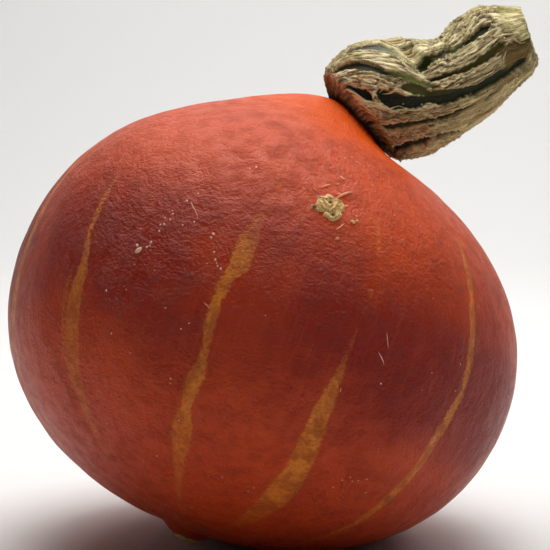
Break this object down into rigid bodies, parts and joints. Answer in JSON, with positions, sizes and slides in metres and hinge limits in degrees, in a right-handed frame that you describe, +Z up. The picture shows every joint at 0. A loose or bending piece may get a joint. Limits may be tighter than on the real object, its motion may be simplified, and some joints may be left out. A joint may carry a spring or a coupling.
{
  "type": "red kuri squash",
  "caption": "Whole red kuri squash: a round, slightly pear-drawn fruit with faint ribs and a thick bent corky stem, resting on a small flat spot.",
  "frame": {"origin": "middle of the small flat spot that the fruit rests on, level with the surface under it", "axes": "+Z up from that surface, +X towards the stem's end, -Y towards the side with the corky scar"},
  "size_m": [0.1696, 0.1614, 0.1703],
  "materials": {
    "rind": "smooth waxy orange-red rind with ochre stripes",
    "cork": "dry tan cork with dark green grooves"
  },
  "bodies": {
    "root": {"fruit": "rind", "stem": "cork"}
  },
  "joints": []
}
